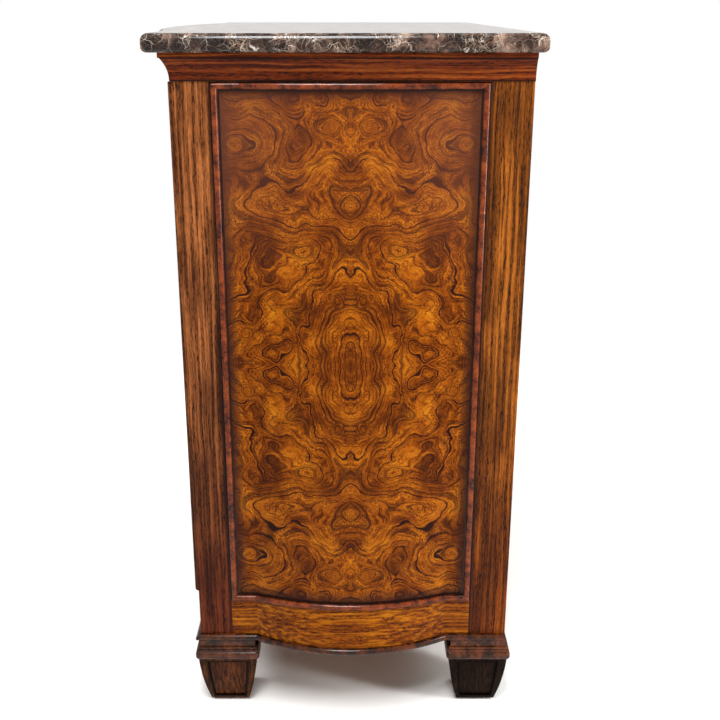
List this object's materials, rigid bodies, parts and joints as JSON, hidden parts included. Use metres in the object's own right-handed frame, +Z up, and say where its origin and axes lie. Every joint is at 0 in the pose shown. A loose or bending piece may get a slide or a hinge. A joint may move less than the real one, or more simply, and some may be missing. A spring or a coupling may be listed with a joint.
{
  "type": "chest of drawers",
  "caption": "Bow-fronted chest of drawers with bowed burr-veneered ends, bead mouldings, block feet and a dark marble top.",
  "frame": {"origin": "on the floor, under the middle of the outer box", "axes": "+Z up, -Y the drawers' side, +X the end that the picture shows"},
  "size_m": [0.934, 0.5304, 0.9855],
  "materials": {
    "marble": "polished",
    "burr_veneer": "gloss",
    "frame_wood": "satin",
    "moulding_wood": "gloss",
    "rail_wood": "satin",
    "foot_wood": "satin",
    "case_wood": "matte",
    "drawer_wood": "satin",
    "brass": "satin"
  },
  "bodies": {
    "chest": {"back_bottom_rail": "case_wood", "back_left_foot": "foot_wood", "back_left_post": "frame_wood", "back_panel": "case_wood", "back_right_foot": "foot_wood", "back_right_post": "frame_wood", "back_top_rail": "case_wood", "base_moulding_front": "moulding_wood", "base_moulding_left": "moulding_wood", "base_moulding_right": "moulding_wood", "bottom_board": "case_wood", "cornice_front": "frame_wood", "cornice_left": "frame_wood", "cornice_right": "frame_wood", "drawer_rails": "frame_wood", "drawer_runners": "case_wood", "foot_caps": "moulding_wood", "front_bottom_rail": "rail_wood", "front_left_foot": "foot_wood", "front_left_post": "frame_wood", "front_right_foot": "foot_wood", "front_right_post": "frame_wood", "front_top_rail": "frame_wood", "left_bottom_rail": "rail_wood", "left_panel": "burr_veneer", "left_panel_moulding": "moulding_wood", "left_pilaster": "frame_wood", "left_top_rail": "frame_wood", "marble_top": "marble", "right_bottom_rail": "rail_wood", "right_panel": "burr_veneer", "right_panel_moulding": "moulding_wood", "right_pilaster": "frame_wood", "right_top_rail": "frame_wood", "top_board": "case_wood", "top_kickers": "case_wood"},
    "drawer_1": {"drawer_1_back": "drawer_wood", "drawer_1_bottom": "drawer_wood", "drawer_1_front": "burr_veneer", "drawer_1_knobs": "brass", "drawer_1_moulding": "moulding_wood", "drawer_1_sides": "drawer_wood"},
    "drawer_2": {"drawer_2_back": "drawer_wood", "drawer_2_bottom": "drawer_wood", "drawer_2_front": "burr_veneer", "drawer_2_knobs": "brass", "drawer_2_moulding": "moulding_wood", "drawer_2_sides": "drawer_wood"},
    "drawer_3": {"drawer_3_back": "drawer_wood", "drawer_3_bottom": "drawer_wood", "drawer_3_front": "burr_veneer", "drawer_3_knobs": "brass", "drawer_3_moulding": "moulding_wood", "drawer_3_sides": "drawer_wood"},
    "drawer_4": {"drawer_4_back": "drawer_wood", "drawer_4_bottom": "drawer_wood", "drawer_4_front": "burr_veneer", "drawer_4_knobs": "brass", "drawer_4_moulding": "moulding_wood", "drawer_4_sides": "drawer_wood"}
  },
  "joints": [
    {"name": "drawer_1_slide", "type": "slide", "parent": "chest", "child": "drawer_1", "axis": [0, -1, 0], "range_m": [0, 0.3]},
    {"name": "drawer_2_slide", "type": "slide", "parent": "chest", "child": "drawer_2", "axis": [0, -1, 0], "range_m": [0, 0.3]},
    {"name": "drawer_3_slide", "type": "slide", "parent": "chest", "child": "drawer_3", "axis": [0, -1, 0], "range_m": [0, 0.3]},
    {"name": "drawer_4_slide", "type": "slide", "parent": "chest", "child": "drawer_4", "axis": [0, -1, 0], "range_m": [0, 0.3]}
  ]
}
